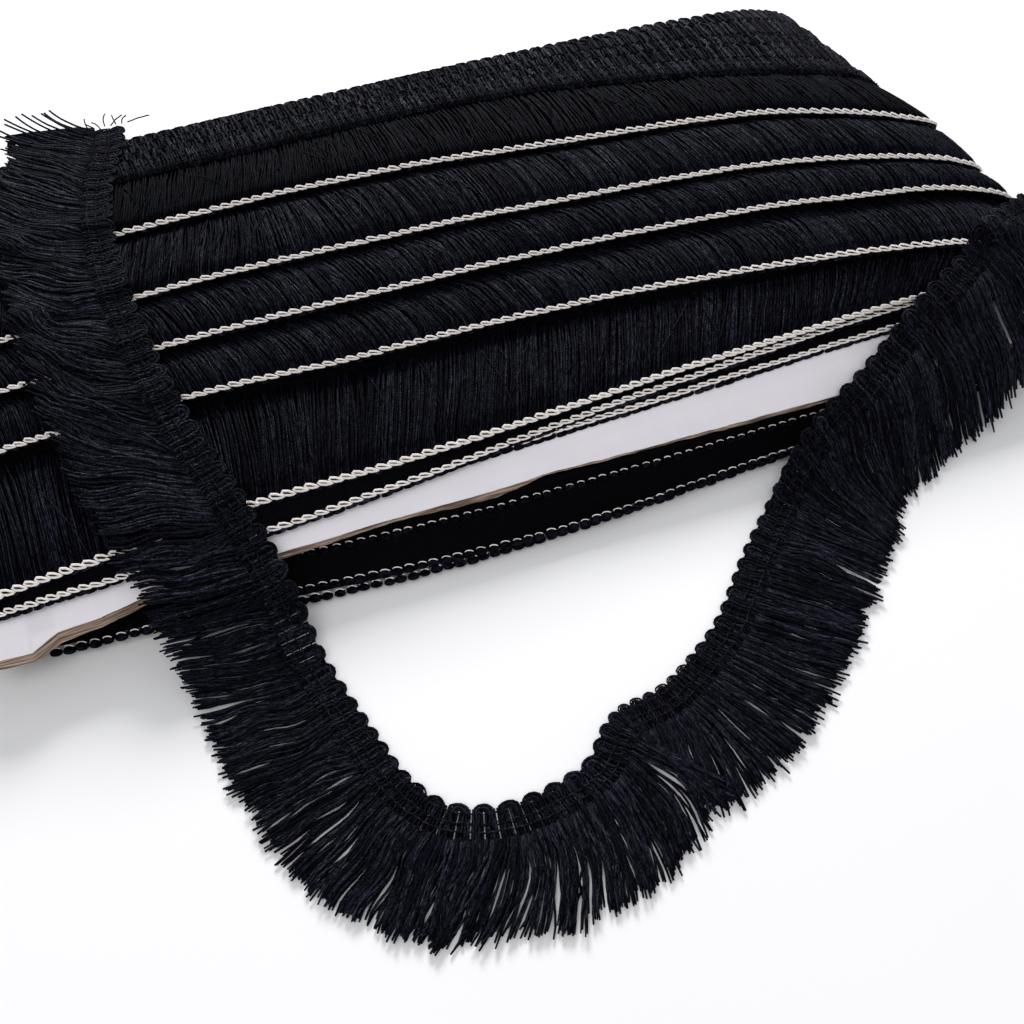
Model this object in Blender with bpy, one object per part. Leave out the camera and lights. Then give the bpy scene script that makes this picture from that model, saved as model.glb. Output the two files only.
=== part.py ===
"""Tassel fringe trim wound lengthwise on a flat card, with its loose end looped in front.

The card lies flat. The trim goes round and round it, over the card's short ends, with its
crocheted heading to the back (+Y) and its fringe to the front (-Y). Each turn further back
lies on top of the one before it, like shingles. The last turn comes up round the right end,
crosses the front corner, loops on the table and runs back over the winding to its cut end.

All lengths in this file are millimetres; MM turns them into Blender's metres.
The origin is on the table, under the middle of the winding.
"""
import math

import bpy
from mathutils import Vector

MM = 0.001

# ---- driving dimensions ----
TOUCH_GAP = 0.3
ROOT_GAP = 0.45
CARD_LENGTH = 360.0
CARD_FRONT_Y = -96.0
CARD_BACK_Y = 94.0
CARD_BOTTOM = 13.7
CARD_THICKNESS = 2.3
CARD_TOP = CARD_BOTTOM + CARD_THICKNESS

HEADING_WIDTH = 11.6
HEADING_THICKNESS = 1.8
SCALLOP_PITCH = 6.3
SCALLOP_DEPTH = 1.8
FRINGE_LENGTH = 28.0
FRINGE_THICKNESS = 1.4
FRINGE_SPINE = 1.6
TOOTH_PITCH = 7.0
TOOTH_FILL = 0.84

WINDING_HALF_LENGTH = 200.0
END_ROUNDING = 52.0
END_MIDDLE_Z = 15.0
END_FULLNESS = 0.8
ROW_BEND_START = -20.0
ROW_BEND_POWER = 1.7
SLANT_FROM_X = 40.0
CARD_END_GAP = 3.0

# ---- the winding's outer surface, front to back ----
# top_y, top_z: where the surface is over the card. bend: how far that line has moved to the
# front by the right end, because the turns draw together there. inset: how much shorter than
# the longest turn it is at each end. under_y, under_z: the matching line below the card.
# slant: how much further back that lower line lies at the left end than at the right.
WINDING_LINES = (
    dict(top_y=-84.5, top_z=18.0, bend=-3.0, inset=12.0, under_y=-102.5, under_z=11.5, slant=12.0),
    dict(top_y=-84.0, top_z=19.6, bend=-3.0, inset=11.0, under_y=-104.5, under_z=9.0, slant=12.0),
    dict(top_y=-81.5, top_z=22.5, bend=-3.0, inset=8.0, under_y=-103.6, under_z=6.6, slant=13.0),
    dict(top_y=-79.0, top_z=23.6, bend=-2.0, inset=5.0, under_y=-107.0, under_z=4.4, slant=14.0),
    dict(top_y=-62.0, top_z=27.2, bend=4.0, inset=1.5, under_y=-106.6, under_z=1.4, slant=11.0),
    dict(top_y=-42.2, top_z=29.4, bend=14.0, inset=0.5, under_y=-98.0, under_z=0.0, slant=8.0),
    dict(top_y=-41.4, top_z=32.6, bend=14.0, inset=0.0, under_y=-80.0, under_z=0.0, slant=3.0),
    dict(top_y=-20.2, top_z=33.6, bend=17.0, inset=0.5, under_y=-60.0, under_z=0.0, slant=0.0),
    dict(top_y=-19.4, top_z=36.2, bend=17.0, inset=0.0, under_y=-40.0, under_z=0.0, slant=0.0),
    dict(top_y=3.2, top_z=36.6, bend=22.0, inset=1.0, under_y=-20.0, under_z=0.0, slant=0.0),
    dict(top_y=4.0, top_z=38.8, bend=22.0, inset=0.5, under_y=0.0, under_z=0.0, slant=0.0),
    dict(top_y=35.0, top_z=38.6, bend=26.0, inset=4.0, under_y=20.0, under_z=0.0, slant=0.0),
    dict(top_y=36.0, top_z=40.8, bend=26.0, inset=3.5, under_y=40.0, under_z=0.0, slant=0.0),
    dict(top_y=68.0, top_z=39.6, bend=12.0, inset=9.0, under_y=58.0, under_z=0.0, slant=0.0),
    dict(top_y=80.0, top_z=38.0, bend=8.0, inset=10.0, under_y=72.0, under_z=0.0, slant=0.0),
    dict(top_y=88.0, top_z=35.4, bend=5.0, inset=11.0, under_y=82.0, under_z=0.0, slant=0.0),
    dict(top_y=96.0, top_z=31.0, bend=3.0, inset=12.0, under_y=91.0, under_z=0.8, slant=0.0),
    dict(top_y=101.5, top_z=25.0, bend=2.0, inset=12.0, under_y=97.5, under_z=4.0, slant=0.0),
    dict(top_y=103.0, top_z=18.5, bend=1.0, inset=12.0, under_y=101.0, under_z=10.0, slant=0.0),
)
TOP_STATIONS_X = (-140.0, -95.0, -45.0, 0.0, 35.0, 65.0, 90.0, 115.0, 140.0)
UNDER_STATIONS_X = (140.0, 70.0, 0.0, -70.0, -140.0)
END_STEPS = 7

# ---- how the loose tail lies over the table, the card's edge and the winding ----
# y, z: height of the tail's underside above the table for a place that far back.
LIE = (
    dict(y=-136.0, z=0.0),
    dict(y=-127.0, z=0.8),
    dict(y=-119.0, z=5.0),
    dict(y=-111.0, z=12.4),
    dict(y=-104.0, z=16.8),
    dict(y=-94.0, z=19.4),
    dict(y=-84.0, z=23.2),
    dict(y=-74.0, z=26.4),
    dict(y=-58.0, z=30.0),
    dict(y=-42.0, z=33.4),
    dict(y=-20.0, z=37.0),
    dict(y=4.0, z=39.6),
    dict(y=36.0, z=41.4),
    dict(y=60.0, z=40.9),
    dict(y=80.0, z=39.4),
    dict(y=100.0, z=37.6),
)
LIE_BEND = 15.0
LIE_BEND_FROM_Y = -100.0
LIE_BEND_OVER = 45.0
LEAST_END_LIFT = 0.58

# ---- the tail's route: its scalloped edge, from the winding's right end to the cut end ----
# The first points climb the winding's right end from below. turn: degrees that the fringe has
# swung from straight forwards.
TAIL_CLIMB = (
    dict(z=9.5, y=-41.5, turn=0.0),
    dict(z=14.5, y=-41.5, turn=1.0),
    dict(z=19.5, y=-42.3, turn=4.0),
    dict(z=24.5, y=-44.6, turn=10.0),
    dict(z=28.9, y=-49.4, turn=18.0),
)
CLIMB_TOP_Z = 34.5
CLIMB_GAP = 1.1
LYING_TURN = 27.0
TAIL_ROUTE = (
    dict(x=171.0, y=-59.3),
    dict(x=150.0, y=-70.5),
    dict(x=125.0, y=-83.0),
    dict(x=99.0, y=-96.5),
    dict(x=70.0, y=-110.5),
    dict(x=42.0, y=-133.5),
    dict(x=21.0, y=-154.5),
    dict(x=1.5, y=-167.5),
    dict(x=-15.0, y=-173.5),
    dict(x=-33.0, y=-180.0),
    dict(x=-49.0, y=-187.0),
    dict(x=-61.5, y=-188.0),
    dict(x=-72.0, y=-181.5),
    dict(x=-79.5, y=-166.0),
    dict(x=-83.0, y=-147.0),
    dict(x=-87.5, y=-128.0),
    dict(x=-91.5, y=-110.0),
    dict(x=-96.0, y=-88.0),
    dict(x=-101.5, y=-66.0),
    dict(x=-106.5, y=-43.0),
    dict(x=-109.5, y=-18.0),
    dict(x=-110.0, y=10.0),
    dict(x=-107.5, y=38.0),
    dict(x=-102.5, y=62.0),
    dict(x=-95.0, y=84.0),
    dict(x=-92.0, y=99.0),
)
ROUTE_STEPS = 12
WIDTH_STEP = 1.0


def material(name, colour, roughness):
    """A Principled material of one colour."""
    made = bpy.data.materials.new(name)
    made.use_nodes = True
    shader = made.node_tree.nodes["Principled BSDF"]
    shader.inputs["Base Color"].default_value = (*colour, 1.0)
    shader.inputs["Roughness"].default_value = roughness
    shader.inputs["Metallic"].default_value = 0.0
    return made


def add_mesh(name, points, faces, surface, smooth=False):
    """One named object from points in millimetres."""
    mesh = bpy.data.meshes.new(name)
    mesh.from_pydata([tuple(c * MM for c in point) for point in points], [], faces)
    mesh.materials.append(surface)
    if smooth:
        mesh.shade_smooth()
        mesh.set_sharp_from_angle(angle=math.radians(40.0))
    mesh.update()
    made = bpy.data.objects.new(name, mesh)
    bpy.context.scene.collection.objects.link(made)
    return made


def smoothstep(value):
    """0 to 1 with flat ends."""
    clamped = min(max(value, 0.0), 1.0)
    return clamped * clamped * (3.0 - 2.0 * clamped)


def spline(points, steps):
    """Points on a smooth curve through the given ones."""
    padded = [points[0] * 2 - points[1], *points, points[-1] * 2 - points[-2]]
    curve = []
    for index in range(1, len(padded) - 2):
        before, start, end, after = padded[index - 1:index + 3]
        for step in range(steps):
            t = step / steps
            curve.append(
                0.5 * (2 * start + (end - before) * t
                       + (2 * before - 5 * start + 4 * end - after) * t ** 2
                       + (3 * start - before - 3 * end + after) * t ** 3)
            )
    curve.append(points[-1].copy())
    return curve


# ---- card ----

def build_card():
    """The flat board, a little inside the winding at its short ends and in front of it."""
    half = CARD_LENGTH / 2
    corners = (
        (-half, CARD_FRONT_Y),
        (half, CARD_FRONT_Y),
        (half, CARD_BACK_Y),
        (-half, CARD_BACK_Y),
    )
    points = [(x, y, z) for z in (CARD_BOTTOM, CARD_TOP) for x, y in corners]
    faces = [(3, 2, 1, 0), (4, 5, 6, 7)]
    for index in range(4):
        following = (index + 1) % 4
        faces.append((index, following, following + 4, index + 4))
    add_mesh("card", points, faces, material("card_board", (0.78, 0.76, 0.79), 0.8))


# ---- winding ----

def bend_at(bend, x):
    """How far a line of the winding has moved to the front at this place along it."""
    if x <= ROW_BEND_START:
        return 0.0
    along = (x - ROW_BEND_START) / (WINDING_HALF_LENGTH - ROW_BEND_START)
    return bend * along ** ROW_BEND_POWER


def under_y_at(line, x):
    """Where a line lies below the card at this place along it."""
    along = (SLANT_FROM_X - x) / (SLANT_FROM_X + WINDING_HALF_LENGTH)
    return line["under_y"] + line["slant"] * min(max(along, 0.0), 1.0) ** 2


def end_ring(line, side):
    """Points of one line round a short end, top to bottom on the right, bottom to top on the left."""
    start_x = WINDING_HALF_LENGTH - END_ROUNDING
    rounding = END_ROUNDING - line["inset"]
    ring = []
    for step in range(END_STEPS):
        angle = math.radians(90.0 - 180.0 * (step + 0.5) / END_STEPS)
        out = math.cos(angle) ** END_FULLNESS * rounding
        lift = math.copysign(abs(math.sin(angle)) ** END_FULLNESS, angle)
        if lift > 0:
            z = END_MIDDLE_Z + (line["top_z"] - END_MIDDLE_Z) * lift
        else:
            z = END_MIDDLE_Z + (END_MIDDLE_Z - line["under_z"]) * lift
        above = (1.0 + lift) / 2
        x = side * (start_x + out)
        over_y = line["top_y"] - bend_at(line["bend"], x)
        ring.append((x, over_y * above + under_y_at(line, x) * (1.0 - above), z))
    return ring if side > 0 else ring[::-1]


def outer_ring(line):
    """One line of the winding's outside, all the way round the card."""
    over = [(x, line["top_y"] - bend_at(line["bend"], x), line["top_z"]) for x in TOP_STATIONS_X]
    under = [(x, under_y_at(line, x), line["under_z"]) for x in UNDER_STATIONS_X]
    return over + end_ring(line, 1) + under + end_ring(line, -1)


def inner_ring(outer):
    """The same line where the innermost turn meets the card, touching it all round."""
    half = CARD_LENGTH / 2 + CARD_END_GAP
    radius = CARD_THICKNESS / 2 + TOUCH_GAP
    middle = CARD_BOTTOM + CARD_THICKNESS / 2
    ring = []
    for index, (x, y, _z) in enumerate(outer):
        over_end = index - len(TOP_STATIONS_X)
        under_start = over_end - END_STEPS
        left_end = under_start - len(UNDER_STATIONS_X)
        if over_end < 0:
            ring.append((x, y, middle + radius))
        elif under_start < 0:
            angle = math.radians(90.0 - 180.0 * (over_end + 0.5) / END_STEPS)
            ring.append((half + radius * math.cos(angle), y, middle + radius * math.sin(angle)))
        elif left_end < 0:
            ring.append((x, y, middle - radius))
        else:
            angle = math.radians(-90.0 + 180.0 * (left_end + 0.5) / END_STEPS)
            ring.append((-half - radius * math.cos(angle), y, middle + radius * math.sin(angle)))
    return ring


def build_winding():
    """All the turns as one ring round the card, stepped where each turn laps the next."""
    outer = [outer_ring(line) for line in WINDING_LINES]
    rings = outer + [inner_ring(outer[-1]), inner_ring(outer[0])]
    around = len(rings[0])
    points = [point for ring in rings for point in ring]
    faces = []
    for ring in range(len(rings)):
        following = (ring + 1) % len(rings)
        for station in range(around):
            beside = (station + 1) % around
            faces.append((
                ring * around + station,
                ring * around + beside,
                following * around + beside,
                following * around + station,
            ))
    yarn = material("wound_yarn", (0.012, 0.012, 0.016), 0.85)
    add_mesh("wound_trim", points, faces, yarn, smooth=True)


# ---- loose tail ----

LIE_CURVE = spline([Vector((row["y"], row["z"])) for row in LIE], ROUTE_STEPS)


def end_lift(x):
    """How much of its height over the middle the winding's top keeps near its right end."""
    out = (x - WINDING_HALF_LENGTH + END_ROUNDING) / END_ROUNDING
    if out <= 0.0:
        return 1.0
    level = min(out, 1.0) ** (1.0 / END_FULLNESS)
    return max(math.sqrt(1.0 - level ** 2) ** END_FULLNESS, LEAST_END_LIFT)


def end_reach(z):
    """How far right the winding's end reaches at this height, under the tail's climb."""
    half_height = CLIMB_TOP_Z - END_MIDDLE_Z if z > END_MIDDLE_Z else END_MIDDLE_Z
    level = min(abs(z - END_MIDDLE_Z) / half_height, 1.0) ** (1.0 / END_FULLNESS)
    out = math.sqrt(1.0 - level ** 2) ** END_FULLNESS * END_ROUNDING
    return WINDING_HALF_LENGTH - END_ROUNDING + out


def lie_height(x, y):
    """Height of the tail's underside where it lies on the table, the card's edge or the winding."""
    along_y = y + bend_at(LIE_BEND, x) * smoothstep((y - LIE_BEND_FROM_Y) / LIE_BEND_OVER)
    if along_y <= LIE_CURVE[0].x:
        return max(LIE_CURVE[0].y, 0.0)
    height = LIE_CURVE[-1].y
    for low, high in zip(LIE_CURVE, LIE_CURVE[1:]):
        if low.x <= along_y < high.x:
            height = low.y + (high.y - low.y) * (along_y - low.x) / (high.x - low.x)
            break
    if height > END_MIDDLE_Z:
        return END_MIDDLE_Z + (height - END_MIDDLE_Z) * end_lift(x)
    return max(height, 0.0)


def resample(curve, step):
    """The same curve with a point every step along it."""
    total = sum((b - a).length for a, b in zip(curve, curve[1:]))
    count = max(2, round(total / step))
    spacing = total / count
    result = [curve[0].copy()]
    travelled = 0.0
    for start, end in zip(curve, curve[1:]):
        length = (end - start).length
        while len(result) <= count and travelled + length >= spacing * len(result) - 1e-6:
            result.append(start.lerp(end, (spacing * len(result) - travelled) / length))
        travelled += length
    return result


class Station:
    """One place along the tail: its edge point, the way along it and the way its fringe points."""

    def __init__(self, edge, along, out):
        self.edge = edge
        self.along = along
        self.out = out

    def across(self, distance):
        """The underside's point that far from the scalloped edge, and the way up there."""
        point = self.edge.copy()
        offset = self.edge.z - lie_height(self.edge.x, self.edge.y)
        lying = smoothstep(1.0 - abs(offset) / 6.0)
        covered = 0.0
        direction = self.out.copy()
        while covered < distance:
            step = min(WIDTH_STEP, distance - covered)
            ahead = point + self.out * WIDTH_STEP
            rise = (lie_height(ahead.x, ahead.y) - lie_height(point.x, point.y)) * lying / WIDTH_STEP
            direction = Vector((self.out.x, self.out.y, rise)).normalized()
            point = point + direction * step
            covered += step
        return point, self.along.cross(direction).normalized()


def tail_stations(step):
    """Stations a step apart, from the winding's right end to the cut end."""
    climb = [Vector((end_reach(row["z"]) + CLIMB_GAP, row["y"], row["z"])) for row in TAIL_CLIMB]
    lying = [Vector((row["x"], row["y"], lie_height(row["x"], row["y"]))) for row in TAIL_ROUTE]
    turns = [row["turn"] for row in TAIL_CLIMB]
    curve = []
    for index, point in enumerate(spline(climb + lying, ROUTE_STEPS)):
        if index >= len(climb) * ROUTE_STEPS:
            point.z = lie_height(point.x, point.y)
        curve.append(point)
    points = resample(curve, step)
    stations = []
    climb_length = sum((b - a).length for a, b in zip(climb, climb[1:] + lying[:1]))
    travelled = 0.0
    for index, point in enumerate(points):
        before = points[max(index - 1, 0)]
        after = points[min(index + 1, len(points) - 1)]
        along = (after - before).normalized()
        out = Vector((-along.y, along.x, 0.0))
        place = travelled / climb_length * len(turns)
        if place < len(turns):
            low = min(int(place), len(turns) - 1)
            high_turn = turns[low + 1] if low + 1 < len(turns) else LYING_TURN
            angle = math.radians(turns[low] + (high_turn - turns[low]) * (place - low))
            out = Vector((math.sin(angle), -math.cos(angle), 0.0))
        stations.append(Station(point, along, out.normalized()))
        travelled += (after - point).length
    return stations


def build_heading():
    """The crocheted band: a thin strip with a scalloped edge."""
    stations = tail_stations(SCALLOP_PITCH / 2)
    points = []
    for index, station in enumerate(stations):
        start = 0.0 if index % 2 else SCALLOP_DEPTH
        for distance in (start, HEADING_WIDTH):
            low, up = station.across(distance)
            points.append(low)
            points.append(low + up * HEADING_THICKNESS)
    faces = [(1, 3, 2, 0)]
    for index in range(len(stations) - 1):
        a = index * 4
        b = a + 4
        faces += [
            (a + 1, b + 1, b + 3, a + 3),
            (a + 2, b + 2, b, a),
            (a, b, b + 1, a + 1),
            (a + 3, b + 3, b + 2, a + 2),
        ]
    last = (len(stations) - 1) * 4
    faces.append((last, last + 2, last + 3, last + 1))
    add_mesh("tail_heading", points, faces, material("heading_yarn", (0.014, 0.014, 0.018), 0.8))


def build_fringe():
    """The comb of yarns along the band's outer edge, with a narrow spine at its root."""
    stations = tail_stations(TOOTH_PITCH / 2)
    root = HEADING_WIDTH + ROOT_GAP
    spine = root + FRINGE_SPINE
    reach = (spine, root + FRINGE_LENGTH * 0.4, root + FRINGE_LENGTH * 0.7, root + FRINGE_LENGTH)
    points = []
    faces = []

    def add_section(start, end, distance, fill):
        """Four corners of a tooth at one distance out: near low, near high, far low, far high."""
        first_low, first_up = start.across(distance)
        last_low, last_up = end.across(distance)
        trim = (1.0 - fill) / 2
        near_low = first_low.lerp(last_low, trim)
        far_low = first_low.lerp(last_low, 1.0 - trim)
        number = len(points)
        points.extend([
            near_low,
            near_low + first_up * FRINGE_THICKNESS,
            far_low,
            far_low + last_up * FRINGE_THICKNESS,
        ])
        return [number, number + 1, number + 2, number + 3]

    spine_rows = []
    for station in stations:
        row = []
        for distance in (root, spine):
            low, up = station.across(distance)
            row += [len(points), len(points) + 1]
            points.append(low)
            points.append(low + up * FRINGE_THICKNESS)
        spine_rows.append(row)
    faces.append((spine_rows[0][1], spine_rows[0][3], spine_rows[0][2], spine_rows[0][0]))
    for index in range(len(spine_rows) - 1):
        a = spine_rows[index]
        b = spine_rows[index + 1]
        faces += [
            (a[1], b[1], b[3], a[3]),
            (a[2], b[2], b[0], a[0]),
            (a[0], b[0], b[1], a[1]),
        ]
        if index % 2:
            faces.append((a[3], b[3], b[2], a[2]))
            continue
        section = [a[2], a[3], b[2], b[3]]
        for distance in reach[1:]:
            following = add_section(stations[index], stations[index + 1], distance, TOOTH_FILL)
            faces += [
                (section[1], section[3], following[3], following[1]),
                (section[0], following[0], following[2], section[2]),
                (section[0], section[1], following[1], following[0]),
                (section[2], following[2], following[3], section[3]),
            ]
            section = following
        faces.append((section[0], section[1], section[3], section[2]))
    last = spine_rows[-1]
    faces.append((last[0], last[2], last[3], last[1]))
    add_mesh("tail_fringe", points, faces, material("fringe_yarn", (0.012, 0.012, 0.016), 0.85))


def main():
    for old in list(bpy.data.objects):
        bpy.data.objects.remove(old, do_unlink=True)
    build_card()
    build_winding()
    build_heading()
    build_fringe()


main()
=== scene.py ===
"""Looks of the tassel fringe trim wound on its card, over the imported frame.

Lengths are millimetres until a mesh is made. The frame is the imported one: +X along the card,
+Y away from its front edge, z = 0 on the table. On a sheet of trim, a runs along it and b across it.
"""
from functools import partial
from math import cos, pi, radians, sin

import bpy
import numpy as np
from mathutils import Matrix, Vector


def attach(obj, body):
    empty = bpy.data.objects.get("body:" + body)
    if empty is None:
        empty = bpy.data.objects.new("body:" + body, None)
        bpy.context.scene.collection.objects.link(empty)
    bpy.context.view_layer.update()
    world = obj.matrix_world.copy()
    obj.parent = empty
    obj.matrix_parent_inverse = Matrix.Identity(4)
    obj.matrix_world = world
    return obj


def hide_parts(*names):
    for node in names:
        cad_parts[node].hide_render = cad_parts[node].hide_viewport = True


MM = 0.001
seeded = np.random.default_rng
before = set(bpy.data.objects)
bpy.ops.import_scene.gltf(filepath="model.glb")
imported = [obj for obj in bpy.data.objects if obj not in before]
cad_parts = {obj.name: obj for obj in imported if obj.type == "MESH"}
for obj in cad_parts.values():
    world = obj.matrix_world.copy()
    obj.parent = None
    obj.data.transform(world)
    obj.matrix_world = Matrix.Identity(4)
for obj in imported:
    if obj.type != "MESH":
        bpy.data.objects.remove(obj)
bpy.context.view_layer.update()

# ---- sizes that repeat the part's own ----
HEADING_WIDTH = 11.9
FIRST_GROOVE = 6.6
SECOND_GROOVE = 11.6
FRINGE_ROOT = 11.4
FRINGE_LENGTH = 30.0
YARN_RADIUS = 0.41
LINK_PITCH = 3.75
END_START_X = 148.0
END_ROUNDING = 52.0
END_MIDDLE_Z = 15.0
END_RISE = 21.0
END_FULLNESS = 0.8
ROW_BEND_START = -20.0
ROW_BEND_REACH = 220.0
ROW_BEND_POWER = 1.7
CARD_LENGTH = 360.0
CARD_BACK_Y = 94.0
CARD_BOTTOM = 13.7
CARD_TOP = 16.0
FACE_THICKNESS = 0.28

# ---- yarns ----
PLIES = 2.0
STRAND_PITCH = 0.67
HIDDEN_STRAND_PITCH = 1.6
STRAND_RADIUS = 0.36
STRAY_STRANDS = 46
SWAY_REACH = 22.0
LINK_HALF_LENGTH = 2.1
LINK_SCALE = 0.88
FRONT_LINK_SCALE = 1.06
# row_1's strands take darker tones: painted shade on the winding's top row
BACK_ROW_PAINTED_SHADE = 0.2
WEFT_BOB = 0.34
SHORT_THREADS = 8
LONG_THREADS = 10
# ---- the tail's fringe is cut unevenly and lies in locks: widths and random spreads, mm and degrees ----
CUT_SPREAD = 0.9
LEAN_SPREAD = 2.2
LOCK_WIDTHS = (1.2, 4.6)
LOCK_LEAN = 1.8
LOCK_LENGTH = 0.9
LOCK_PULL = 0.3
SMALL_GAPS = 30

# ---- the winding's lines at stations along the card, millimetres ----
STATIONS = (-200, -150, -100, -50, 0, 50, 100, 130, 160, 180, 200)
# how far each chain and heading has moved to the front
DROPS = dict(
    chain_1=(-2.5, -2.5, -2.5, -3, 0, 7, 13.5, 20, 33, 43.5, 54),
    chain_2=(4, 1, -4, -3, -0.5, 3.5, 8.5, 15, 25, 34, 46),
    chain_3=(-3, -3.5, -4, -3, -2, 1, 5.5, 11.5, 17.5, 23, 28),
    chain_4=(-4.5, -5, -5, -2, -0.5, 3.5, 10.5, 15.5, 22.5, 27, 31),
    chain_5=(4, 2, -2, -2, -3.5, -6, -7, -7.5, -8, -8.5, -9),
    chain_6=(4, 2.5, 2, -0.5, -5.5, -8.5, -11.5, -12, -12.5, -13, -13),
    chain_7=(1, 0.5, 0, -1.5, -2.5, -3, -4, -4, -5, -5.5, -6),
    top_heading=(0, 0, 0, 0, 0, 4, 15, 23.5, 36, 48, 56),
    second_heading=(0, 0, 0, 0, 0, 2.5, 9, 16, 26.5, 37, 46),
    third_heading=(0, 0, 0, 0, 0, 1, 4, 8, 16, 25, 33),
    low_heading=(0, 0, 0, 0, 0, 0.5, 1.5, 3, 6, 10, 16),
)
# y of the winding's front below the card
UNDERS = dict(
    high_row=(-84, -87, -91, -96, -98.5, -99.5, -100, -100, -100.5, -101, -101),
    low_row=(-92, -98, -101, -107.5, -110.5, -108.5, -107, -106.5, -106, -105.5, -105),
    floor_row=(-90, -95, -103, -108.5, -109.5, -107.5, -105.5, -105, -104.5, -104.5, -104),
)
# ---- knots of the chains on the winding's front below the card: line, height, x range, size ----
BEAD_ROWS = (
    dict(name="beads_high", line="high_row", z=8.0, span=(-178.0, 150.0), size=0.85),
    dict(name="beads_low", line="low_row", z=3.9, span=(-163.0, 150.0), size=1.0),
    dict(name="beads_floor", line="floor_row", z=1.75, span=(-155.0, 150.0), size=1.0),
)

# ---- the wound turns that show, front to back ----
# top: the surface from the chain edge back, as y and z over the card.
# front, back: names of the lines, how much shorter than the longest turn they are at each end,
# and their height below the card. under: y of both lines below the card.
# knots: size of the black knots in front of the chain.
ROWS = (
    dict(name="row_7", top=((-86.4, 16.9), (-85.2, 17.6), (-83.2, 18.2), (-80, 18.4)),
         front=("chain_7", 12, 11.5), back=("chain_7", 12, 11), under=(-82, -76), knots=1.5),
    dict(name="row_6", top=((-88.4, 19), (-87.2, 20.2), (-85.6, 20.7), (-78, 21.2)),
         front=("chain_6", 10, 8.4), back=("chain_6", 9, 7.4), under=(-82, -74), knots=1.5),
    dict(name="row_5", top=((-83.4, 21.9), (-82.2, 23.2), (-80.6, 24), (-72, 25.8), (-62, 27.4),
                            (-53.5, 28.3), (-48.6, 27), (-44.4, 25), (-38, 23.6)),
         front=("chain_5", 5, 4.2), back=("chain_4", 1, 3.4), under=(-90, -50), knots=1.4),
    dict(name="row_4", top=((-44.4, 31), (-43.4, 32.4), (-41.6, 33.3), (-33, 33.7), (-27.2, 32.8),
                            (-22.6, 30.6), (-16, 28.8)),
         front=("chain_4", 8, 2.3), back=("chain_3", 6, 2.3), under=(-92, -40), knots=1.15),
    dict(name="row_3", top=((-22.2, 34.6), (-21.2, 36), (-19.4, 36.9), (-10, 37.1), (-3.8, 36.2),
                            (0.8, 34), (8, 32)),
         front=("chain_3", 3.5, 2.3), back=("chain_2", 6, 2.3), under=(-40, 0), knots=1.15),
    dict(name="row_2", top=((1.2, 37.2), (2.2, 38.6), (4, 39.5), (16, 39.8), (28, 38.7),
                            (32.8, 36.4), (40, 34.2)),
         front=("chain_2", 5.5, 2.3), back=("chain_1", 7, 2.3), under=(0, 40), knots=1.15),
    dict(name="row_1", top=((33.2, 39.4), (34.2, 40.7), (36, 41.4), (46, 41.3), (56, 40.8),
                            (66, 39.6)),
         front=("chain_1", 6.5, 2.3), back=("top_heading", 15.5, 2.3), under=(40, 60), knots=1.15),
)
# lean of each row's strands, in mm to the right for each mm back: x, lean
LEANS = dict(
    row_1=((-120, 0.3), (-60, 0.25), (-20, 0.02), (60, -0.02), (130, -0.1), (200, -0.15)),
    row_2=((-120, 0.3), (-80, 0.2), (-40, -0.1), (60, -0.15), (150, -0.12)),
    row_3=((-120, -0.3), (0, -0.2), (100, -0.12), (160, 0.0)),
    row_4=((-120, -0.15), (-40, -0.3), (30, -0.3), (100, -0.15), (160, 0.0)),
    row_5=((-120, 0.0), (-90, 0.2), (-60, 0.4), (150, 0.38)),
)
# ---- headings that show at the back, top to bottom: domed edge first, then the fringe side ----
BACK_HEADINGS = (
    dict(name="heading_1", edge=(74.4, 39.4), root=(61.8, 40.6), domes=5.4,
         front=("top_heading", 17, 2.4), back=("top_heading", 15.5, 2.4), under=(72, 60)),
    dict(name="heading_2", edge=(80.4, 37.6), root=(70, 38.4), domes=5,
         front=("second_heading", 18, 2.6), back=("top_heading", 17, 2.6), under=(80, 68)),
    dict(name="heading_3", edge=(87.8, 35.9), root=(77, 36.9), domes=5.2,
         front=("second_heading", 18, 3), back=("second_heading", 18, 3), under=(86, 76)),
    dict(name="heading_4", edge=(95, 33.4), root=(84.6, 35.2), domes=4.9,
         front=("third_heading", 18, 3.6), back=("second_heading", 18, 3.4), under=(92, 82)),
    dict(name="heading_5", edge=(101.8, 28.4), root=(91.8, 32.4), domes=5.3,
         front=("low_heading", 18, 6.6), back=("third_heading", 18, 5.6), under=(98, 88)),
    dict(name="heading_6", edge=(105, 21), root=(98.4, 27.4), domes=5.1,
         front=("low_heading", 18, 10.6), back=("low_heading", 18, 9.6), under=(100, 92)),
)

# ---- how the loose tail lies: y, height of its underside ----
LIE = (
    (-136, 0), (-127, 0.8), (-119, 5), (-111, 12.4), (-104, 16.8), (-94, 20),
    (-86, 23.6), (-80, 26.2), (-74, 27.4), (-58, 30), (-44, 33.6), (-40, 34.4),
    (-22, 37.2), (4, 40), (36, 41.8), (60, 41.3), (80, 39.8), (100, 37.6),
)
# that line of heights bends to the front at the right, from this y on, gaining over so many mm
LIE_BEND = 15.0
LIE_BEND_FROM_Y = -100.0
LIE_BEND_OVER = 45.0
# the least share of its height that the tail keeps over the winding's right end
LEAST_END_LIFT = 0.58
# how far the chains stand above the strands, and how far the tail stays above both
CHAIN_RISE = 2.3
TAIL_GAP = 0.5
# up the winding's end: z, y, and how far the fringe has turned from the front to the right, degrees
TAIL_CLIMB = ((9.5, -41.5, 0.0), (14.5, -41.5, 1.0), (19.5, -42.3, 4.0), (24.5, -44.6, 10.0),
              (28.9, -49.4, 18.0))
LYING_TURN = 27.0
CLIMB_TOP_Z = 34.5
CLIMB_GAP = 1.1
# the tail's sheet is this wide, with room for strands that lean
TAIL_REACH = 52
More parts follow.
